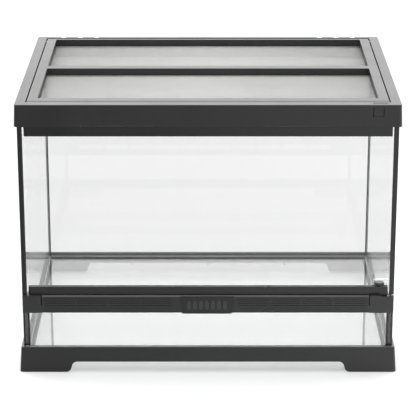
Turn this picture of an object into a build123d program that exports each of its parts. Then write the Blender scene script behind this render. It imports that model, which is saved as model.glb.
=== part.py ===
"""Front-opening glass cage for a hamster: moulded base and top frames, bonded glass panes, one glass
door on vertical pins and a hinged mesh lid. Millimetres, +Z up, front towards -Y, origin on the floor
under the middle of the cage. Each sub-part is written to parts/NODE.step."""

from build123d import *
import math
import os

os.makedirs("parts", exist_ok=True)

# Overall size
TOP_W = 600.0  # top frame at its upper edge
TOP_D = 450.0
SKIRT_FLARE = 1.5  # how much wider each side is at the skirt's lower edge
TOP_Z = 446.3
SKIRT_Z = 411.0  # lower edge of the top frame's skirt
BASE_Z = 42.4  # upper edge of the base frame
BASE_FLOOR_W = 608.0
BASE_FLOOR_D = 458.0
BASE_FLARE = 3.0  # each side, floor against upper edge
CORNER_R = 6.0
WALL = 3.0  # moulded plastic wall

# Glass box, standing on the base frame's ledge
GLASS_X = 294.3  # outer face of the side panes
FRONT_X = 297.0  # half the width of the lower front pane, which laps over the side panes
GLASS_FRONT = -218.5  # outer face of the lower front pane
GLASS_REAR = 221.5  # outer face of the back pane
SIDE_T = 4.4
PANE_T = 4.0
LEDGE_Z = 31.5
SIDE_TOP = TOP_Z - 3.4
BACK_TOP = SKIRT_Z + 9.0
FRONT_PANE_TOP = 108.2
BOND_T = 0.8  # silicone between the lower front pane and the side panes
SIDE_FRONT = GLASS_FRONT + PANE_T + BOND_T
INNER_X = GLASS_X - SIDE_T
BACK_INNER = GLASS_REAR - PANE_T
FLOOR_TOP = LEDGE_Z + PANE_T
REAR_BEAD = 2.2  # silicone bead in the rear corners
FRONT_BEAD = 3.2
FLOOR_BEAD = 2.6

# Base frame
LEDGE_IN_X = 282.0
LEDGE_FRONT = -204.0
LEDGE_REAR = 207.0
LEDGE_T = 5.0
FOOT_GAP_H = 17.4
FRONT_GAP = 222.5  # half the gap between the feet at the floor
SIDE_GAP = 147.0
GAP_SLOPE = 4.5
TOE_R = 9.0

# Vent rail across the front, under the door
RAIL_Z0 = 99.6
RAIL_Z1 = 129.2
RAIL_FRONT = -221.5
RAIL_REAR = -203.5
CAP_L0, CAP_L1 = -297.2, -267.4
CAP_R0, CAP_R1 = 259.0, 297.2
SLIT = 1.5
SLIT_H = 16.8
LOUVRE_PITCH = 3.25

# Door
DOOR_X = 287.7
DOOR_FRONT = -216.1
DOOR_T = 9.0
DOOR_Y = DOOR_FRONT + DOOR_T / 2
DOOR_PANE_T = 4.0
CH_LOW_Z0, CH_LOW_Z1 = 129.8, 142.6
CH_TOP_Z0, CH_TOP_Z1 = 392.8, 409.9
PANE_Z0, PANE_Z1 = CH_LOW_Z0 + 6.2, CH_TOP_Z1 - 6.2
PIN_DEPTH = 9.9  # how far the bottom pin and the latch reach below the rail's top
HINGE_X = -283.0
PIN_R = 2.0
RUN = 0.05  # radial running clearance
LATCH_X = 274.0
LATCH_TRAVEL = 3.0
KNOB_R = 8.6

# Top frame and lid
RIM_X = 284.0  # inner edge of the rim
RIM_FRONT = -209.2
RIM_REAR = 214.4
SEAT_Z = TOP_Z - 12.4  # the lid rests on this ledge
SEAT_T = 3.0
LID_X = 282.3
LID_FRONT = -207.8
LID_PIVOT_Y = 208.0
LID_PIVOT_Z = TOP_Z - 5.4
LID_PIN_R = 1.5
WINDOW_X = 266.5
WINDOWS = {"front": (-185.2, 0.5), "rear": (18.5, 203.0)}
RETAINER_W = 5.5
MESH_OVER = 2.5  # how far the mesh reaches under the lid's bars
SCREW_OUT = 4.0
INLETS = (197.0, 226.0, 255.0)
INLET_W = 9.5
GATE_TRAVEL = 14.5
BUTTON_X = 264.0
BUTTON_W = 15.0
BUTTON_Z0, BUTTON_Z1 = TOP_Z - 18.2, TOP_Z - 5.0
TUNNEL_Z0, TUNNEL_Z1 = SEAT_Z - 11.5, SEAT_Z - 3.6
GATE_Z0, GATE_Z1 = SEAT_Z - 18.3, SEAT_Z - 3.4
ABOVE = TOP_Z + 6  # clear of the whole cage


def block(x0, x1, y0, y1, z0, z1):
    """A box between two corners, in whichever order they are given."""
    low = (min(x0, x1), min(y0, y1), min(z0, z1))
    size = (abs(x1 - x0), abs(y1 - y0), abs(z1 - z0))
    return Pos(*low) * Box(*size, align=(Align.MIN, Align.MIN, Align.MIN))


def post(x, y, z0, z1, r):
    """A vertical cylinder."""
    return Pos(x, y, z0) * Cylinder(r, z1 - z0, align=(Align.CENTER, Align.CENTER, Align.MIN))


def rod_x(x0, x1, y, z, r):
    """A cylinder along X."""
    axis = Pos((x0 + x1) / 2, y, z) * Rot(0, 90, 0)
    return axis * Cylinder(r, abs(x1 - x0))


def prism_x(points, x0, x1):
    """An outline in (y, z) carried from x0 to x1."""
    face = make_face(Polyline(*[(x0, y, z) for y, z in points], close=True))
    return extrude(face, amount=x1 - x0, dir=(1, 0, 0))


def prism_y(points, y0, y1):
    """An outline in (x, z) carried from y0 to y1."""
    face = make_face(Polyline(*[(x, y0, z) for x, z in points], close=True))
    return extrude(face, amount=y1 - y0, dir=(0, 1, 0))


def mirrored(shape):
    return mirror(shape, about=Plane.YZ)


def group(shapes):
    """Several separate solids in one node."""
    return Compound(children=[solid for shape in shapes for solid in shape.solids()])


def save(name, shape):
    solids = shape.solids()
    export_step(solids[0] if len(solids) == 1 else Compound(children=list(solids)), f"parts/{name}.step")


def foot_gap(half):
    """The outline between two feet: sloping sides with a rounded top and rounded toes."""
    reach, drop = half + 60, -6
    outline = Polyline(
        (-reach, drop), (reach, drop), (reach, 0), (half, 0), (half - GAP_SLOPE, FOOT_GAP_H),
        (GAP_SLOPE - half, FOOT_GAP_H), (-half, 0), (-reach, 0), close=True,
    )
    face = make_face(outline)
    toes = [v for v in face.vertices() if abs(abs(v.X) - half) < 0.1]
    face = fillet(toes, TOE_R)
    crown = [v for v in face.vertices() if abs(v.Y - FOOT_GAP_H) < 0.1]
    return fillet(crown, TOE_R)


def base_frame():
    taper = math.degrees(math.atan(BASE_FLARE / BASE_Z))
    body = extrude(RectangleRounded(BASE_FLOOR_W, BASE_FLOOR_D, CORNER_R), amount=BASE_Z, taper=taper)
    body = fillet(body.faces().sort_by(Axis.Z)[-1].edges(), 1.4)
    hollow = extrude(
        RectangleRounded(BASE_FLOOR_W - 2 * WALL, BASE_FLOOR_D - 2 * WALL, 2),
        amount=LEDGE_Z - LEDGE_T, taper=taper,
    )
    body -= hollow
    body -= block(-GLASS_X - 0.3, GLASS_X + 0.3, GLASS_FRONT - 0.3, GLASS_REAR + 0.3, LEDGE_Z, 50)
    body -= block(-FRONT_X - 0.3, FRONT_X + 0.3, GLASS_FRONT - 0.3, SIDE_FRONT + 3.5, LEDGE_Z, 50)
    body -= block(-LEDGE_IN_X, LEDGE_IN_X, LEDGE_FRONT, LEDGE_REAR, 20, 50)
    across = Rot(90, 0, 0) * foot_gap(FRONT_GAP)
    body -= Pos(0, 300, 0) * extrude(across, amount=600, dir=(0, -1, 0))
    along = Rot(0, 0, 90) * Rot(90, 0, 0) * foot_gap(SIDE_GAP)
    body -= Pos(-400, 0, 0) * extrude(along, amount=800, dir=(1, 0, 0))
    for x in (-140, 0, 140):
        for y0, y1 in ((-BASE_FLOOR_D / 2 + 6, LEDGE_FRONT - 2), (LEDGE_REAR + 2, BASE_FLOOR_D / 2 - 6)):
            body += block(x - 1, x + 1, y0, y1, FOOT_GAP_H + 1.5, LEDGE_Z - LEDGE_T + 0.5)
    save("base_frame", body)


def panes():
    save("bottom_pane", block(-INNER_X, INNER_X, SIDE_FRONT, BACK_INNER, LEDGE_Z, FLOOR_TOP))
    save("back_pane", block(-INNER_X, INNER_X, BACK_INNER, GLASS_REAR, LEDGE_Z, BACK_TOP))
    right = block(INNER_X, GLASS_X, SIDE_FRONT, GLASS_REAR, LEDGE_Z, SIDE_TOP)
    save("right_side_pane", right)
    save("left_side_pane", mirrored(right))
    front = GLASS_FRONT + PANE_T
    save("front_lower_pane", block(-FRONT_X, FRONT_X, GLASS_FRONT, front, LEDGE_Z, FRONT_PANE_TOP))


def bead(width):
    """The hollow-faced section of a silicone bead, its square corner at the origin."""
    square = Pos(width / 2, width / 2) * Rectangle(width, width)
    return square - Pos(width, width) * Circle(width * 0.92)


def bead_along(width, origin, x_dir, length_dir, length):
    plane = Plane(origin=origin, x_dir=x_dir, z_dir=length_dir)
    return extrude(plane * bead(width), amount=length)


def seals():
    start = FLOOR_TOP + FLOOR_BEAD
    height = BACK_TOP - 9 - start
    left_rear = bead_along(REAR_BEAD, (-INNER_X, BACK_INNER, start), (0, -1, 0), (0, 0, 1), height)
    save("rear_corner_seals", group([left_rear, mirrored(left_rear)]))
    long_x = 2 * (INNER_X - FLOOR_BEAD)
    depth = BACK_INNER - (GLASS_FRONT + PANE_T)
    side = bead_along(FLOOR_BEAD, (-INNER_X, BACK_INNER, FLOOR_TOP), (1, 0, 0), (0, -1, 0), depth - BOND_T)
    back = bead_along(FLOOR_BEAD, (INNER_X - FLOOR_BEAD, BACK_INNER, FLOOR_TOP), (0, -1, 0), (-1, 0, 0), long_x)
    front_y = GLASS_FRONT + PANE_T + BOND_T
    front = bead_along(FLOOR_BEAD, (-INNER_X + FLOOR_BEAD, front_y, FLOOR_TOP), (0, 1, 0), (1, 0, 0), long_x)
    save("floor_seal", group([side, mirrored(side), back, front]))
    height = RAIL_Z0 - 0.3 - start
    inner = bead_along(FRONT_BEAD, (-INNER_X, GLASS_FRONT + PANE_T, start), (1, 0, 0), (0, 0, 1), height)
    outer = block(-FRONT_X, -GLASS_X, GLASS_FRONT + PANE_T, SIDE_FRONT + 2.4, BASE_Z - 3, RAIL_Z0 - 0.3)
    outer = fillet(outer.edges().filter_by(Axis.Z).sort_by(lambda e: e.center().X - e.center().Y)[0], 2.0)
    save("front_corner_seals", group([inner, mirrored(inner), outer, mirrored(outer)]))


def edge_trims():
    """Angle strips that cap the side panes' front edges and turn along their outer faces."""
    body = block(290.6, 297.6, -216.5, -206.5, RAIL_Z1 + 0.1, SKIRT_Z - 0.4)
    body = fillet(body.edges().filter_by(Axis.Z).group_by(Axis.Y)[0], 0.8)
    body -= block(280, GLASS_X + 0.1, SIDE_FRONT - 0.1, -200, 0, 500)
    save("right_front_edge_trim", body)
    save("left_front_edge_trim", mirrored(body))


def pane_groove(x0, x1):
    return block(x0, x1, GLASS_FRONT - 0.3, GLASS_FRONT + PANE_T + 0.2, RAIL_Z0 - 1, FRONT_PANE_TOP + 0.4)


def vent_rail():
    x0, x1 = CAP_L1, CAP_R0
    body = block(x0, x1, RAIL_FRONT, RAIL_REAR, RAIL_Z0, RAIL_Z1)
    front = body.edges().filter_by(Axis.X).group_by(Axis.Y)[0]
    body = chamfer(front.sort_by(Axis.Z)[-1], 2.2)
    body = fillet(body.edges().filter_by(Axis.X).group_by(Axis.Y)[0].sort_by(Axis.Z)[0], 1.5)
    body -= block(x0 + 3, x1 - 3, RAIL_FRONT + 2.6, RAIL_REAR - 2.5, FRONT_PANE_TOP + 2.5, RAIL_Z1 - 2.6)
    body -= pane_groove(x0 - 1, x1 + 1)
    for x, side in ((x0, 1), (x1, -1)):
        body -= block(x - side, x + side * SLIT, RAIL_FRONT - 1, RAIL_FRONT + 8, RAIL_Z1 - SLIT_H, RAIL_Z1 + 1)
    rows = int((RAIL_Z1 - RAIL_Z0) / LOUVRE_PITCH)
    for row in range(rows):
        z = RAIL_Z0 + 2.9 + row * LOUVRE_PITCH
        body -= block(x0 + 4, x1 - 4, RAIL_FRONT - 1, RAIL_FRONT + 0.5, z - 0.4, z + 0.4)
        if FRONT_PANE_TOP + 3 < z < RAIL_Z1 - 3.2:
            for i in range(10):
                start = x0 + 6 + i * 51.6
                if not -60 < start < 45:
                    body -= block(start, start + 48, RAIL_FRONT - 1, RAIL_FRONT + 4, z - 0.25, z + 0.25)
    for i in range(10):
        start = x0 + 6 + i * 51.6
        body -= block(start, start + 48, RAIL_REAR - 4, RAIL_REAR + 1, RAIL_Z0 + 12.5, RAIL_Z0 + 23)
    plate = block(-44.9, 41.4, RAIL_FRONT - 1, RAIL_FRONT + 0.9, RAIL_Z0 - 1, RAIL_Z1 - 1.4)
    body -= plate
    save("vent_rail", body)
    mesh = block(x0 + 4, x1 - 4, RAIL_REAR - 3.3, RAIL_REAR - 2.6, FRONT_PANE_TOP + 2.7, RAIL_Z1 - 2.8)
    save("vent_mesh_strip", mesh)


def name_plate():
    """A plain badge with a row of leaf-shaped bosses, its lower edge a little below the rail."""
    low, high = RAIL_Z0 - 1.2, RAIL_Z1 - 1.6
    plate = prism_y(
        [(-41.5, low), (38.0, low), (41.2, high), (-44.7, high)], RAIL_FRONT - 0.4, RAIL_FRONT + 0.8
    )
    for i in range(7):
        x = -1.7 + (i - 3) * 9.6
        boss = Pos(x, 0, (low + high) / 2) * Rot(90, 0, 0) * Ellipse(3.4, 8.0)
        plate += Pos(0, RAIL_FRONT - 0.3, 0) * extrude(boss, amount=0.7, dir=(0, -1, 0))
    plate -= block(-60, 60, GLASS_FRONT - 0.35, GLASS_FRONT + 1, 0, 200)
    save("name_plate", plate)


def rail_cap(outer, inner):
    """An end cap: in front of the side pane's edge it reaches the outer face, behind it stays inside."""
    side = 1 if outer > 0 else -1
    body = block(outer, inner, RAIL_FRONT, SIDE_FRONT - 0.4, RAIL_Z0, RAIL_Z1)
    body += block(side * (INNER_X - 0.3), inner, SIDE_FRONT - 1, RAIL_REAR, RAIL_Z0, RAIL_Z1)
    edges = body.edges().filter_by(Axis.Z).group_by(Axis.Y)[0]
    body = fillet([e for e in edges if abs(e.center().X - outer) < 0.5], 1.2)
    return body - pane_groove(outer - side * -1, inner - side)


def rail_caps():
    left = rail_cap(CAP_L0, CAP_L1)
    left -= post(HINGE_X, DOOR_Y, RAIL_Z1 - PIN_DEPTH - 1, RAIL_Z1 + 1, PIN_R + RUN)
    save("left_rail_cap", left)
    right = rail_cap(CAP_R1, CAP_R0)
    right -= post(LATCH_X, DOOR_Y, CH_LOW_Z0 - LATCH_TRAVEL - 5, RAIL_Z1 + 1, PIN_R + 0.6)
    right -= block(277.2, 300, RAIL_FRONT - 1, RAIL_REAR - 2, RAIL_Z1 - 1.6, RAIL_Z1 + 1)
    save("right_rail_cap", right)


def door():
    y0, y1 = DOOR_FRONT, DOOR_FRONT + DOOR_T
    slot0, slot1 = DOOR_Y - DOOR_PANE_T / 2, DOOR_Y + DOOR_PANE_T / 2
    low = block(-DOOR_X, DOOR_X, y0, y1, CH_LOW_Z0, CH_LOW_Z1)
    low += block(278.2, DOOR_X, y0, y1, CH_LOW_Z0 - 1.6, CH_LOW_Z0 + 1)
    low = fillet([e for e in low.edges().filter_by(Axis.Z) if e.center().X < -DOOR_X + 1], 4.4)
    low = fillet([e for e in low.edges().filter_by(Axis.Z) if e.center().X > DOOR_X - 0.1], 1.6)
    low = fillet(low.faces().sort_by(Axis.Z)[-1].edges(), 0.6)
    low -= block(-DOOR_X - 1, DOOR_X + 1, slot0, slot1, PANE_Z0 - 0.1, 200)
    relief = [(255.5, CH_LOW_Z0 - 1), (261, CH_LOW_Z0 + 3), (273, CH_LOW_Z0 + 3), (276.8, CH_LOW_Z0 - 1)]
    low -= prism_y(relief, y0 - 1, y0 + 1.8)
    low -= post(HINGE_X, DOOR_Y, 100, PANE_Z0 - 0.6, PIN_R)
    low += post(LATCH_X, DOOR_Y, CH_LOW_Z0, CH_LOW_Z1, 4.4)
    low -= post(LATCH_X, DOOR_Y, 100, 200, PIN_R + RUN)
    low -= post(LATCH_X, DOOR_Y, CH_LOW_Z1 - 5.2, 200, 3.4)
    save("door_bottom_channel", low)
    top = block(-DOOR_X, DOOR_X, y0, y1, CH_TOP_Z0, CH_TOP_Z1)
    top = fillet([e for e in top.edges().filter_by(Axis.Z) if e.center().X < 0], 4.4)
    top = fillet([e for e in top.edges().filter_by(Axis.Z) if e.center().X > 0], 1.6)
    top = fillet(top.faces().sort_by(Axis.Z)[0].edges() + top.faces().sort_by(Axis.Z)[-1].edges(), 0.6)
    top -= block(-DOOR_X - 1, DOOR_X + 1, slot0, slot1, 300, PANE_Z1 + 0.1)
    top -= post(HINGE_X, DOOR_Y, PANE_Z1 + 0.6, 500, PIN_R)
    save("door_top_channel", top)
    pane = block(-DOOR_X + 2, DOOR_X - 0.2, slot0, slot1, PANE_Z0, PANE_Z1)
    notch = block(LATCH_X - 10, DOOR_X + 5, slot0 - 1, slot1 + 1, PANE_Z0 - 5, CH_LOW_Z1 + 12)
    notch = fillet([e for e in notch.edges().filter_by(Axis.Y).group_by(Axis.Z)[-1] if e.center().X < 280], 6)
    save("door_pane", pane - notch)
    save("door_bottom_pin", post(HINGE_X, DOOR_Y, RAIL_Z1 - PIN_DEPTH, PANE_Z0 - 0.6, PIN_R))
    save("door_top_pin", post(HINGE_X, DOOR_Y, PANE_Z1 + 0.6, SKIRT_Z + 8.5, PIN_R))


def latch():
    """A flat round knob on a steel pin, drawn up as it is when the door is free."""
    foot = CH_LOW_Z1 - 0.8
    under = CH_LOW_Z1 + LATCH_TRAVEL + 0.2
    top = under + 3.4
    flat = KNOB_R - 2.4
    line = Polyline((0, foot), (3.0, foot), (3.0, under), (KNOB_R - 0.5, under), (KNOB_R, under + 0.5))
    dome = ThreePointArc((KNOB_R, under + 0.5), (KNOB_R - 0.7, top - 0.9), (flat, top))
    close = Polyline((flat, top), (0, top), (0, foot))
    profile = make_face(Plane.XZ * (line + dome + close))
    knob = Pos(LATCH_X, DOOR_Y, 0) * revolve(profile, Axis.Z)
    knob -= post(LATCH_X, DOOR_Y, 120, top - 1.4, PIN_R)
    save("latch_knob", knob)
    pin = post(LATCH_X, DOOR_Y, CH_LOW_Z0 + 0.4, top - 1.4, PIN_R)
    save("latch_pin", chamfer(pin.edges().sort_by(Axis.Z)[0], 0.5))


def notch_cut(x):
    """A cable inlet: a round-ended cut down the back of the rim and a tunnel under the lid's seat."""
    half = INLET_W / 2
    end = 216.2 + half
    floor = TUNNEL_Z0
    cut = block(x - half, x + half, end, 240, floor, ABOVE) + post(x, end, floor, ABOVE, half)
    return cut + block(x - 4, x + 4, 205, end, floor, TUNNEL_Z1)


def gate_guide(x):
    """Rails that hold an inlet gate against the frame's rear wall."""
    foot = GATE_Z0 - 0.3
    guide = block(x - 57, x + 57, 208.6, RIM_REAR + 1, foot - 2.8, foot)
    return guide + block(x - 57, x + 57, 208.6, 211.2, foot - 2.8, foot + 3)


def rim_walls():
    """The walls that hang inside the skirt and hold the lid's ledge."""
    inner = INNER_X - 0.5
    join = SEAT_Z - 14
    walls = block(-inner, inner, -212.2, 217.1, join, TOP_Z - WALL + 1)
    walls += block(-inner, inner, 217.0, 223, BACK_TOP + 0.4, TOP_Z - WALL + 1)
    walls += block(-inner, inner, RIM_REAR, 217.1, SKIRT_Z + 1.2, join + 1)
    walls += block(-inner, inner, -212.2, RIM_FRONT, SKIRT_Z + 1.2, join + 1)
    return walls + block(-inner, inner, -223, -200, SKIRT_Z + 1.2, SKIRT_Z + 4.2)


def top_frame():
    taper = math.degrees(math.atan(SKIRT_FLARE / (TOP_Z - SKIRT_Z)))
    wide, deep = TOP_W + 2 * SKIRT_FLARE, TOP_D + 2 * SKIRT_FLARE
    outline = Pos(0, 0, SKIRT_Z) * RectangleRounded(wide, deep, CORNER_R)
    body = extrude(outline, amount=TOP_Z - SKIRT_Z, taper=taper)
    body = fillet(body.faces().sort_by(Axis.Z)[-1].edges(), 1.2)
    body -= block(-296.6, 296.6, -221.9, 222.1, SKIRT_Z - 1, TOP_Z - WALL)
    body += rim_walls()
    body -= block(-RIM_X, RIM_X, RIM_FRONT, RIM_REAR, SEAT_Z, ABOVE)
    rim = [e for e in body.edges() if abs(e.center().Z - TOP_Z) < 0.01 and abs(e.center().X) < RIM_X + 1]
    body = fillet([e for e in rim if RIM_FRONT - 1 < e.center().Y < RIM_REAR + 1], 0.6)
    body -= block(-RIM_X, RIM_X, RIM_FRONT, RIM_REAR, SKIRT_Z + 4.2, SEAT_Z - SEAT_T)
    body -= block(-278, 278, -203.2, 209.5, SEAT_Z - SEAT_T - 1, SEAT_Z + 1)
    body += post(HINGE_X, DOOR_Y, SKIRT_Z + 1.2, SKIRT_Z + 11, 5.4)
    body -= post(HINGE_X, DOOR_Y, SKIRT_Z - 1, SKIRT_Z + 9.5, PIN_R + RUN)
    lip = [(-227.8, SKIRT_Z - 1), (-222.6, SKIRT_Z - 1), (-227.8, SKIRT_Z + 4.2)]
    for side in (-1, 1):
        body -= prism_x(lip, min(side * 85, side * 198), max(side * 85, side * 198))
        body -= rod_x(side * (RIM_X - 2), side * 288.2, LID_PIVOT_Y, LID_PIVOT_Z, LID_PIN_R + RUN)
        body += gate_guide(side * (INLETS[1] - GATE_TRAVEL / 2))
        for x in INLETS:
            body -= notch_cut(side * x)
    half = BUTTON_W / 2 + 1.2
    body -= block(BUTTON_X - half, BUTTON_X + half, -230, -221, BUTTON_Z0 - 0.3, BUTTON_Z1 + 0.3)
    body -= block(255.5, 278.6, -220, RIM_FRONT + 1, TOP_Z - 8.4, ABOVE)
    body -= block(257, 271, -212.5, RIM_FRONT + 0.1, SEAT_Z - 12.5, SEAT_Z + 1.5)
    save("top_frame", body)


def lid_frame():
    body = block(-LID_X, LID_X, LID_FRONT, LID_PIVOT_Y, SEAT_Z, TOP_Z)
    body += rod_x(-LID_X, LID_X, LID_PIVOT_Y, LID_PIVOT_Z, TOP_Z - LID_PIVOT_Z)
    bevel = [(LID_FRONT - 1, TOP_Z - 3.4), (LID_FRONT + 8, TOP_Z), (LID_FRONT + 8, ABOVE), (LID_FRONT - 1, ABOVE)]
    body -= prism_x(bevel, -300, 300)
    for y0, y1 in WINDOWS.values():
        opening = block(-WINDOW_X, WINDOW_X, y0, y1, SEAT_Z - 1, ABOVE)
        body -= fillet(opening.edges().filter_by(Axis.Z), 2.0)
        rebate = MESH_OVER + 0.4
        body -= block(-WINDOW_X - rebate, WINDOW_X + rebate, y0 - rebate, y1 + rebate, SEAT_Z - 1, SEAT_Z + 1)
    for side in (-1, 1):
        body -= rod_x(side * 275, side * 290, LID_PIVOT_Y, LID_PIVOT_Z, LID_PIN_R)
    top = [e for e in body.edges() if abs(e.center().Z - TOP_Z) < 0.01]
    body = fillet([e for e in top if LID_FRONT + 8.5 < e.center().Y < LID_PIVOT_Y - 0.5], 0.7)
    for x, y in screw_places():
        body -= post(x, y, SEAT_Z - 1, SEAT_Z + 6, 1.0)
    save("lid_frame", body)
    pins = [rod_x(side * 275, side * 287.6, LID_PIVOT_Y, LID_PIVOT_Z, LID_PIN_R) for side in (-1, 1)]
    save("lid_hinge_pins", group(pins))


def screw_places():
    """Where the retainer screws go: on the retainers' long sides, outside the mesh's clear window."""
    places = []
    for y0, y1 in WINDOWS.values():
        for y in (y0 - SCREW_OUT, y1 + SCREW_OUT):
            places += [(x, y) for x in (-240, -120, 0, 120, 240)]
    return places


def lid_meshes():
    low = SEAT_Z
    for name, (y0, y1) in WINDOWS.items():
        half = WINDOW_X + MESH_OVER
        save(f"lid_mesh_{name}", block(-half, half, y0 - MESH_OVER, y1 + MESH_OVER, low + 0.1, low + 0.7))
        wide = WINDOW_X + RETAINER_W
        ring = block(-wide, wide, y0 - RETAINER_W, y1 + RETAINER_W, low - 2, low)
        ring -= block(-WINDOW_X, WINDOW_X, y0, y1, low - 3, low + 1)
        for x, y in screw_places():
            ring -= post(x, y, low - 5, low + 5, 1.0)
        save(f"mesh_retainer_{name}", ring)
    screws = []
    for x, y in screw_places():
        head = fillet(post(x, y, low - 3.3, low - 2, 1.45).edges().sort_by(Axis.Z)[0], 0.5)
        screws.append(head + post(x, y, low - 2, SEAT_Z + 5.5, 1.0))
    save("retainer_screws", group(screws))


def lid_catch():
    """The hook on the lid's front edge that drops through the slot in the rim."""
    tip = TOP_Z - 16.4
    body = block(258.5, 275.5, -218.5, LID_FRONT, TOP_Z - 7.4, TOP_Z - 4.4)
    body += block(259.5, 274.5, -218.5, -216.9, tip, TOP_Z - 6.4)
    body += block(259.5, 274.5, -217.5, -215.7, tip, tip + 2.5)
    save("lid_catch", body)


def lid_release_button():
    """The button's face in the skirt, an arm that passes under the rim, and its claw for the catch."""
    half = BUTTON_W / 2
    arm = TOP_Z - 23.9
    face = block(BUTTON_X - half, BUTTON_X + half, -225.9, -222.4, BUTTON_Z0, BUTTON_Z1)
    face = fillet(face.faces().sort_by(Axis.Y)[0].edges(), 0.5)
    body = face + block(BUTTON_X - 6.5, BUTTON_X + 6.5, -222.6, -221.4, BUTTON_Z0 + 0.2, BUTTON_Z1 - 0.2)
    stop = half + 2.2
    body += block(BUTTON_X - stop, BUTTON_X + stop, -221.6, -220.8, BUTTON_Z0 - 1.3, BUTTON_Z1 + 1.3)
    body += block(BUTTON_X - 6.5, BUTTON_X + 6.5, -221.8, -220.1, arm, BUTTON_Z0 + 1.2)
    body += block(BUTTON_X - 5.5, BUTTON_X + 5.5, -220.6, -213.6, arm, arm + 3)
    body += block(BUTTON_X - 5.5, BUTTON_X + 5.5, -215.4, -213.6, arm + 1.5, arm + 11)
    save("lid_release_button", body)


def inlet_gates():
    """Notched slides behind the rear wall, drawn outwards as they are when the inlets are open."""
    y0, y1 = 211.5, RIM_REAR - 0.3
    middle = INLETS[1]
    body = block(INLETS[0] - 12, INLETS[2] + GATE_TRAVEL + 5, y0, y1, GATE_Z0, GATE_Z1)
    for x in INLETS:
        body -= block(x - 4.3, x + 4.3, y0 - 1, y1 + 1, TUNNEL_Z0 - 0.5, GATE_Z1 + 1)
    body += block(middle - 3, middle + 3, y0 - 3.0, y0 + 0.5, GATE_Z0 + 3.5, TUNNEL_Z0 - 0.7)
    save("right_inlet_gate", body)
    save("left_inlet_gate", mirrored(body))


base_frame()
panes()
seals()
edge_trims()
vent_rail()
name_plate()
rail_caps()
door()
latch()
top_frame()
lid_frame()
lid_meshes()
lid_catch()
lid_release_button()
inlet_gates()
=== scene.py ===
"""Studio picture of the glass hamster cage: procedural materials on the CAD nodes and crossing steel wires in
the lid. Metres, in the CAD model's frame: +X right, +Y back, +Z up."""

import math

import bpy
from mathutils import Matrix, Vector


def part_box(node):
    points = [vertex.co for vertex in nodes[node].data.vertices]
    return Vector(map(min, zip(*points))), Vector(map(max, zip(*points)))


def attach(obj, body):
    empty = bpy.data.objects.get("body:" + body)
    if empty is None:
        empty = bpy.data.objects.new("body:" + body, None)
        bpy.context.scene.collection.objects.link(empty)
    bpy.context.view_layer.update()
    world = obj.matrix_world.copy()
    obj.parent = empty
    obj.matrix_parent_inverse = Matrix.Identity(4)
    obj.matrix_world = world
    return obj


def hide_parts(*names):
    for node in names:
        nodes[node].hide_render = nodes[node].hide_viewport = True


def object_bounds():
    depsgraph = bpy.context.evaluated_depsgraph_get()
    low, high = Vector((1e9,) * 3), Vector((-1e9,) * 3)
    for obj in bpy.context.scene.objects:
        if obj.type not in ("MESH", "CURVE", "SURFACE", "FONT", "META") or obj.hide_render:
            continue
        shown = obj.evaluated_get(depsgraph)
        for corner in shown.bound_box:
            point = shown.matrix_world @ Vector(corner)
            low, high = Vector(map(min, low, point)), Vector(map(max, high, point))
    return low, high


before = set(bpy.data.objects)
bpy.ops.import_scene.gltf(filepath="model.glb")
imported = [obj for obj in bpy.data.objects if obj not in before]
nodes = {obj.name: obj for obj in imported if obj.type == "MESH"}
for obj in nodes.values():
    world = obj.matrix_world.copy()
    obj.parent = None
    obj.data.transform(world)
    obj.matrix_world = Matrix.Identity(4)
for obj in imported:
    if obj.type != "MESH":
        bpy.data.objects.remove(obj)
cad_low, cad_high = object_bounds()
MM = 0.001


# ---------------------------------------------------------------- shader helpers

def new_material(name):
    """An empty material, its node tree and its output."""
    material = bpy.data.materials.new(name)
    material.use_nodes = True
    tree = material.node_tree
    tree.nodes.clear()
    output = tree.nodes.new("ShaderNodeOutputMaterial")
    return material, tree, output


def add(tree, kind, **inputs):
    """A node with some of its inputs set: a tuple or number is a value, a socket is a link."""
    node = tree.nodes.new(kind)
    for key, value in inputs.items():
        socket = node.inputs[key.replace("_", " ")]
        if isinstance(value, bpy.types.NodeSocket):
            tree.links.new(value, socket)
        else:
            socket.default_value = value
    return node


def place(tree):
    """Positions on the object in metres."""
    return tree.nodes.new("ShaderNodeTexCoord").outputs["Object"]


def stretched(tree, scale):
    """Positions on the object, scaled along each axis."""
    mapping = add(tree, "ShaderNodeMapping", Vector=place(tree), Scale=scale)
    return mapping.outputs["Vector"]


def noise(tree, scale, detail=2.0, rough=0.5, vector=None):
    """Cloudy noise, with scale lumps to a metre."""
    where = vector if vector else place(tree)
    return add(tree, "ShaderNodeTexNoise", Vector=where, Scale=scale, Detail=detail, Roughness=rough)


def ranged(tree, value, low, high, start=0.0, end=1.0):
    """value, from start to end, mapped to low to high."""
    node = add(tree, "ShaderNodeMapRange", Value=value)
    for key, number in (("From Min", start), ("From Max", end), ("To Min", low), ("To Max", high)):
        node.inputs[key].default_value = number
    return node.outputs["Result"]


def blended(tree, factor, first, second):
    """The first colour where factor is 0 and the second where it is 1."""
    node = tree.nodes.new("ShaderNodeMix")
    node.data_type = "RGBA"  # its colour sockets go by number: 6 and 7 in, 2 out
    tree.links.new(factor, node.inputs["Factor"])
    node.inputs[6].default_value = (*first, 1)
    node.inputs[7].default_value = (*second, 1)
    return node.outputs[2]


def combined(tree, operation, first, second):
    """The result of a sum on two values or sockets."""
    node = tree.nodes.new("ShaderNodeMath")
    node.operation = operation
    for socket, value in zip(node.inputs, (first, second)):
        if isinstance(value, bpy.types.NodeSocket):
            tree.links.new(value, socket)
        else:
            socket.default_value = value
    return node.outputs[0]


def bumped(tree, height, distance, strength=1.0, normal=None):
    """A normal that follows height, distance metres deep, on top of another normal if one is given."""
    node = add(tree, "ShaderNodeBump", Height=height, Distance=distance, Strength=strength)
    if normal:
        tree.links.new(normal, node.inputs["Normal"])
    return node.outputs["Normal"]


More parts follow.
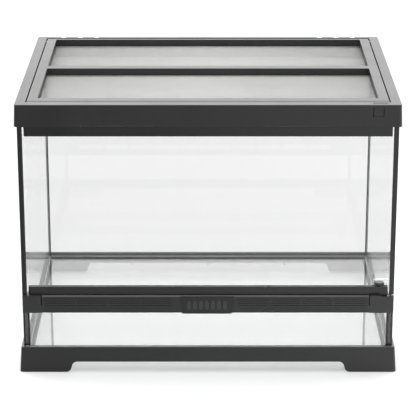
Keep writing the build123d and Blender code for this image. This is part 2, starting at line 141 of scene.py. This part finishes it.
# ---------------------------------------------------------------- materials

PLASTIC_IOR = 1.5
GLASS_IOR = 1.5
SHADOW_TINT = (0.93, 0.95, 0.945, 1)  # of the lamp light that passes one face of a pane


def moulded_plastic(name, base=0.011, rough=0.36, grain=1.0):
    """Black satin plastic with a fine moulded grain and faint handling marks."""
    material, tree, output = new_material(name)
    fine = noise(tree, 2600.0, 2.0, 0.6).outputs["Fac"]
    coarse = noise(tree, 480.0, 3.0, 0.6).outputs["Fac"]
    cloud = noise(tree, 14.0, 4.0, 0.55).outputs["Fac"]
    colour = blended(tree, cloud, (base * 0.8,) * 3, (base * 1.3, base * 1.3, base * 1.38))
    roughness = ranged(tree, cloud, rough - 0.05, rough + 0.06, 0.3, 0.7)
    normal = bumped(tree, coarse, 0.12 * MM * grain, 0.6)
    normal = bumped(tree, fine, 0.04 * MM * grain, 0.6, normal)
    shader = add(tree, "ShaderNodeBsdfPrincipled", Base_Color=colour, Roughness=roughness, Normal=normal)
    shader.inputs["IOR"].default_value = PLASTIC_IOR
    tree.links.new(shader.outputs["BSDF"], output.inputs["Surface"])
    return material


def badge_plastic(name, face, ground):
    """Plastic that is lighter on the badge's raised leaves, at Y = face, than at Y = ground."""
    material, tree, output = new_material(name)
    fine = noise(tree, 2600.0, 2.0, 0.6).outputs["Fac"]
    split = add(tree, "ShaderNodeSeparateXYZ", Vector=place(tree))
    veins = add(tree, "ShaderNodeTexWave", Vector=stretched(tree, (1.0, 0.0, 0.0)), Scale=180.0)
    raised = ranged(tree, split.outputs["Y"], 1.0, 0.0, face, ground)
    streaked = combined(tree, "MULTIPLY", raised, ranged(tree, veins.outputs["Fac"], 0.7, 1.0))
    colour = blended(tree, streaked, (0.006, 0.006, 0.007), (0.032, 0.032, 0.034))
    normal = bumped(tree, fine, 0.04 * MM, 0.6)
    shader = add(tree, "ShaderNodeBsdfPrincipled", Base_Color=colour, Roughness=0.4, Normal=normal)
    tree.links.new(shader.outputs["BSDF"], output.inputs["Surface"])
    return material


def clear_glass(name, tint):
    """Float glass that refracts what is seen and lets lamps through."""
    material, tree, output = new_material(name)
    smear = noise(tree, 9.0, 5.0, 0.6).outputs["Fac"]
    roughness = ranged(tree, smear, 0.0, 0.012, 0.45, 0.8)
    glass = add(tree, "ShaderNodeBsdfPrincipled", Roughness=roughness)
    glass.inputs["Base Color"].default_value = (*tint, 1)
    glass.inputs["IOR"].default_value = GLASS_IOR
    glass.inputs["Transmission Weight"].default_value = 1.0
    clear = add(tree, "ShaderNodeBsdfTransparent")
    clear.inputs["Color"].default_value = SHADOW_TINT
    rays = tree.nodes.new("ShaderNodeLightPath")
    mix = tree.nodes.new("ShaderNodeMixShader")
    tree.links.new(rays.outputs["Is Shadow Ray"], mix.inputs["Fac"])
    tree.links.new(glass.outputs["BSDF"], mix.inputs[1])
    tree.links.new(clear.outputs["BSDF"], mix.inputs[2])
    tree.links.new(mix.outputs["Shader"], output.inputs["Surface"])
    return material


def silicone(name, base):
    """Sealant: smooth, with the long ripples of a drawn bead."""
    material, tree, output = new_material(name)
    ripple = noise(tree, 60.0, 2.0, 0.5).outputs["Fac"]
    colour = blended(tree, ripple, (base * 0.75,) * 3, (base * 1.25,) * 3)
    roughness = ranged(tree, ripple, 0.16, 0.26, 0.3, 0.7)
    normal = bumped(tree, ripple, 0.2 * MM, 0.4)
    shader = add(tree, "ShaderNodeBsdfPrincipled", Base_Color=colour, Roughness=roughness, Normal=normal)
    tree.links.new(shader.outputs["BSDF"], output.inputs["Surface"])
    return material


def bright_steel(name, rough, colour, metallic=1.0):
    """Drawn steel with fine streaks along X and a slight cloud."""
    material, tree, output = new_material(name)
    cloud = noise(tree, 40.0, 3.0, 0.6).outputs["Fac"]
    drawn = noise(tree, 1.0, 2.0, 0.5, stretched(tree, (60.0, 900.0, 900.0))).outputs["Fac"]
    dark = tuple(c * 0.86 for c in colour)
    paint = blended(tree, cloud, dark, colour)
    roughness = ranged(tree, drawn, rough - 0.08, rough + 0.1, 0.3, 0.7)
    normal = bumped(tree, drawn, 0.02 * MM, 0.5)
    shader = add(tree, "ShaderNodeBsdfPrincipled", Base_Color=paint, Roughness=roughness, Normal=normal)
    shader.inputs["Metallic"].default_value = metallic
    tree.links.new(shader.outputs["BSDF"], output.inputs["Surface"])
    return material


def perforated_steel(name):
    """A steel strip with staggered round holes, drawn as dots of painted shade a little under 2 mm apart."""
    material, tree, output = new_material(name)
    cells = add(tree, "ShaderNodeTexVoronoi", Vector=place(tree), Scale=560.0)
    cells.inputs["Randomness"].default_value = 0.0
    holes = ranged(tree, cells.outputs["Distance"], 0.0, 1.0, 0.28, 0.34)
    # the holes are not cut: near-black painted shade without metal stands in their place
    paint = blended(tree, holes, (0.004, 0.004, 0.004), (0.5, 0.5, 0.49))
    shader = add(tree, "ShaderNodeBsdfPrincipled", Base_Color=paint, Metallic=holes)
    shader.inputs["Roughness"].default_value = 0.35
    tree.links.new(shader.outputs["BSDF"], output.inputs["Surface"])
    return material


plastic = moulded_plastic("frame_plastic")
rail_plastic = moulded_plastic("rail_plastic", base=0.016, rough=0.32)
channel_plastic = moulded_plastic("channel_plastic", base=0.010, rough=0.3, grain=0.4)
knob_plastic = moulded_plastic("knob_plastic", base=0.008, rough=0.22, grain=0.3)
pane_glass = clear_glass("pane_glass", (0.972, 0.974, 0.973))
sealant = silicone("sealant", 0.029)
# the floor seal's pale grey is partly the sealant's own colour and partly a painted highlight along its bead
grey_sealant_with_painted_highlight = silicone("grey_sealant_with_painted_highlight", 0.14)
badge_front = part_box("name_plate")[0][1]
BADGE_FACE, BADGE_GROUND = 0.1 * MM, 0.5 * MM  # behind its foremost point
badge = badge_plastic("badge", badge_front + BADGE_FACE, badge_front + BADGE_GROUND)
pin_steel = bright_steel("pin_steel", 0.25, (0.68, 0.68, 0.69))
wire_steel = bright_steel("wire_steel", 0.4, (0.45, 0.45, 0.44), 0.3)
strip_steel = perforated_steel("strip_steel")

FINISHES = {
    plastic: ("base_frame", "top_frame", "lid_frame", "lid_catch", "lid_release_button",
              "mesh_retainer_front", "mesh_retainer_rear", "left_inlet_gate", "right_inlet_gate"),
    rail_plastic: ("vent_rail", "left_rail_cap", "right_rail_cap"),
    badge: ("name_plate",),
    channel_plastic: ("door_top_channel", "door_bottom_channel", "left_front_edge_trim",
                      "right_front_edge_trim"),
    knob_plastic: ("latch_knob",),
    pane_glass: ("bottom_pane", "back_pane", "left_side_pane", "right_side_pane", "front_lower_pane",
                 "door_pane"),
    sealant: ("rear_corner_seals", "front_corner_seals"),
    grey_sealant_with_painted_highlight: ("floor_seal",),
    pin_steel: ("door_top_pin", "door_bottom_pin", "latch_pin", "retainer_screws", "lid_hinge_pins"),
    wire_steel: ("lid_mesh_front", "lid_mesh_rear"),
    strip_steel: ("vent_mesh_strip",),
}
for material, names in FINISHES.items():
    for name in names:
        nodes[name].data.materials.clear()
        nodes[name].data.materials.append(material)


# ---------------------------------------------------------------- lid mesh

WIRE_PITCH = 1.5 * MM
WIRE_R = 0.175 * MM
WIRE_SIDES = 6


def wire_cloth(name, node):
    """Crossing round wires that fill the CAD sheet's outline: lengthwise ones below, crosswise ones above."""
    low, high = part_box(node)
    middle = (low[2] + high[2]) / 2
    points, faces = [], []

    def wire(start, end, across):
        """A rod from start to end; across is the level direction square to it."""
        first = len(points)
        for tip in (start, end):
            for i in range(WIRE_SIDES):
                turn = 2 * math.pi * (i + 0.5) / WIRE_SIDES
                rise = Vector((0, 0, WIRE_R * math.sin(turn)))
                points.append(Vector(tip) + across * WIRE_R * math.cos(turn) + rise)
        for i in range(WIRE_SIDES):
            j = (i + 1) % WIRE_SIDES
            faces.append((first + i, first + j, first + WIRE_SIDES + j, first + WIRE_SIDES + i))
        faces.append(tuple(first + i for i in reversed(range(WIRE_SIDES))))
        faces.append(tuple(first + WIRE_SIDES + i for i in range(WIRE_SIDES)))

    for axis in (0, 1):
        span = high[axis] - low[axis] - 2 * WIRE_R
        count = round(span / WIRE_PITCH)
        for i in range(count + 1):
            at = low[axis] + WIRE_R + span * i / count
            if axis == 0:
                level = middle + WIRE_R
                wire((at, low[1], level), (at, high[1], level), Vector((1, 0, 0)))
            else:
                level = middle - WIRE_R
                wire((low[0], at, level), (high[0], at, level), Vector((0, -1, 0)))
    mesh = bpy.data.meshes.new(name)
    mesh.from_pydata(points, [], faces)
    mesh.update()
    mesh.polygons.foreach_set("use_smooth", [len(face) == 4 for face in faces])
    piece = bpy.data.objects.new(name, mesh)
    bpy.context.scene.collection.objects.link(piece)
    piece.data.materials.append(wire_steel)
    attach(piece, "lid")
    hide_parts(node)


wire_cloth("front_wire_mesh", "lid_mesh_front")
wire_cloth("rear_wire_mesh", "lid_mesh_rear")


# ---------------------------------------------------------------- floor, light and camera

FLOOR_REACH = 30.0
FLOOR_GLOW = 0.245
FLOOR_ALBEDO = 0.28
RETOUCH = 1.25  # how much whiter the camera sees the floor than the glass and the plastic do
PAINTED_LIGHT_BESIDE = 0.3  # how much more so just beside the cage than under it: painted light that whitens the cage's shadow away there
FAR_PAINTED_LIGHT_OFF = -0.35  # taken off again far from the cage, where the paper is white without this painted light
REAR_SHADE = 0.55  # lost close behind the cage in what is seen through its glass
FAR_LOSS = 0.6  # painted shade: lost at the left in what the cage reflects of the far floor
FAR_GAIN = 0.1  # painted light: gained at the right in what it reflects of the far floor
NEAR_GAIN = 0.6  # painted light gained in what it reflects of the near floor
TURN = 0.35  # from this far left of the middle to this far right the painted light in reflections grows
SIDE_LIGHT = 1.8
BACK_LIGHT = 1.9
FRONT_LIGHT = 0.9
HIGH_LIGHT = 3.0
TOP_LIGHT = 2.5
SEEN_WHITE = 1.05


def camera_gain(tree, across, along):
    """What the camera sees on top of the paper's own level, by distance in half widths of the cage, with
    painted light just beside the cage.
    """
    reach = combined(tree, "MAXIMUM", across, along)
    painted_light_beside = ranged(tree, reach, 0.0, PAINTED_LIGHT_BESIDE, 0.98, 1.03)
    away = ranged(tree, reach, 0.0, FAR_PAINTED_LIGHT_OFF, 1.6, 3.0)
    return combined(tree, "ADD", combined(tree, "ADD", painted_light_beside, away), RETOUCH - 1)


def reflected_loss(tree, x, y):
    """What reflections of the paper in the cage lose, as painted shade: they are brighter at the right, and
    near the cage, by painted light.
    """
    dimmer = ranged(tree, x, FAR_LOSS, -FAR_GAIN, -TURN, TURN)
    brighter = ranged(tree, x, 0.0, NEAR_GAIN, -TURN, TURN)
    far = combined(tree, "MULTIPLY", dimmer, ranged(tree, y, 1.0, 0.2, -0.9, -0.4))
    near = combined(tree, "MULTIPLY", brighter, ranged(tree, y, 0.0, 1.0, -0.9, -0.3))
    return combined(tree, "SUBTRACT", far, near)


def rear_shade(tree, across, y):
    """A shaded band of paper as wide as the cage, from its rear edge to a few centimetres behind it."""
    rear = cad_high[1]
    behind = ranged(tree, y, 0.0, REAR_SHADE, rear - 20 * MM, rear)
    beyond = ranged(tree, y, 1.0, 0.0, rear + 40 * MM, rear + 90 * MM)
    beside = ranged(tree, across, 1.0, 0.0, 0.98, 1.1)
    return combined(tree, "MULTIPLY", combined(tree, "MULTIPLY", behind, beyond), beside)


def studio_floor():
    """Lit white paper, whiter to the camera than to the cage, as in a retouched product picture, with painted
    light beside the cage, painted shade behind it and painted light and shade in its reflections.
    """
    mesh = bpy.data.meshes.new("studio_floor")
    turns = ((-1, -1), (1, -1), (1, 1), (-1, 1))
    mesh.from_pydata([(x * FLOOR_REACH, y * FLOOR_REACH, 0) for x, y in turns], [], [(0, 1, 2, 3)])
    floor = bpy.data.objects.new("studio_floor", mesh)
    bpy.context.scene.collection.objects.link(floor)
    material, tree, output = new_material("studio_floor")
    rays = tree.nodes.new("ShaderNodeLightPath")
    split = add(tree, "ShaderNodeSeparateXYZ", Vector=place(tree))
    x, y = split.outputs["X"], split.outputs["Y"]
    across = combined(tree, "MULTIPLY", combined(tree, "ABSOLUTE", x, 0.0), 1 / cad_high[0])
    along = combined(tree, "MULTIPLY", combined(tree, "ABSOLUTE", y, 0.0), 1 / cad_high[1])
    gain = combined(tree, "MULTIPLY", rays.outputs["Is Camera Ray"], camera_gain(tree, across, along))
    loss = combined(tree, "MULTIPLY", rays.outputs["Is Reflection Ray"], reflected_loss(tree, x, y))
    shade = combined(tree, "MULTIPLY", rays.outputs["Is Transmission Ray"], rear_shade(tree, across, y))
    level = combined(tree, "SUBTRACT", combined(tree, "ADD", gain, 1.0), combined(tree, "ADD", loss, shade))
    albedo = combined(tree, "MULTIPLY", level, FLOOR_ALBEDO)
    glow = combined(tree, "MULTIPLY", level, FLOOR_GLOW)
    grey = add(tree, "ShaderNodeCombineColor", Red=albedo, Green=albedo, Blue=albedo)
    paper = add(tree, "ShaderNodeBsdfDiffuse", Color=grey.outputs["Color"])
    light = add(tree, "ShaderNodeEmission", Strength=glow)
    both = tree.nodes.new("ShaderNodeAddShader")
    tree.links.new(paper.outputs["BSDF"], both.inputs[0])
    tree.links.new(light.outputs["Emission"], both.inputs[1])
    tree.links.new(both.outputs["Shader"], output.inputs["Surface"])
    mesh.materials.append(material)


def studio_world():
    """A white room, brightest overhead, at the back and high at the back left, with a low light at the
    right. X, Y and Z are those of the direction looked in."""
    world = bpy.data.worlds.new("studio")
    bpy.context.scene.world = world
    world.use_nodes = True
    tree = world.node_tree
    tree.nodes.clear()
    output = tree.nodes.new("ShaderNodeOutputWorld")
    direction = tree.nodes.new("ShaderNodeTexCoord").outputs["Generated"]
    split = add(tree, "ShaderNodeSeparateXYZ", Vector=direction)
    x, y, z = (split.outputs[axis] for axis in "XYZ")
    glow = ranged(tree, y, FRONT_LIGHT, BACK_LIGHT, -0.2, 0.8)
    back = ranged(tree, y, 0.0, HIGH_LIGHT, 0.1, 0.5)
    high = ranged(tree, z, 0.0, 1.0, 0.38, 0.5)
    side = ranged(tree, x, 1.15, 0.85, -0.5, 0.5)
    panel = combined(tree, "MULTIPLY", combined(tree, "MULTIPLY", back, high), side)
    top = ranged(tree, z, 0.0, TOP_LIGHT, 0.8, 0.95)
    right = ranged(tree, x, 0.0, SIDE_LIGHT, 0.35, 0.7)
    low = ranged(tree, z, 1.0, 0.0, 0.2, 0.4)
    flank = combined(tree, "MULTIPLY", right, low)
    total = combined(tree, "ADD", combined(tree, "ADD", glow, panel), combined(tree, "ADD", top, flank))
    room = add(tree, "ShaderNodeBackground", Strength=total)
    seen = add(tree, "ShaderNodeBackground", Strength=SEEN_WHITE)
    for node in (room, seen):
        node.inputs["Color"].default_value = (1, 1, 1, 1)
    rays = tree.nodes.new("ShaderNodeLightPath")
    mix = tree.nodes.new("ShaderNodeMixShader")
    tree.links.new(rays.outputs["Is Camera Ray"], mix.inputs["Fac"])
    tree.links.new(room.outputs["Background"], mix.inputs[1])
    tree.links.new(seen.outputs["Background"], mix.inputs[2])
    tree.links.new(mix.outputs["Shader"], output.inputs["Surface"])


def studio_camera():
    """A long lens well in front of the cage and above it, looking down on the lid."""
    back, height = 2.8, 1.2254
    down, lens = 18.68, 162.8  # degrees below level, millimetres
    data = bpy.data.cameras.new("camera")
    camera = bpy.data.objects.new("camera", data)
    bpy.context.scene.collection.objects.link(camera)
    data.lens = lens
    data.sensor_width = 36.0
    data.clip_start, data.clip_end = 0.05, 100.0
    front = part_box("lid_release_button")[0][1]
    camera.location = (0.0, front - back, height)
    camera.rotation_euler = (math.radians(90 - down), 0.0, 0.0)
    bpy.context.scene.camera = camera


studio_floor()
studio_world()
studio_camera()
bpy.context.scene.view_settings.view_transform = "Standard"
bpy.context.scene.view_settings.look = "None"
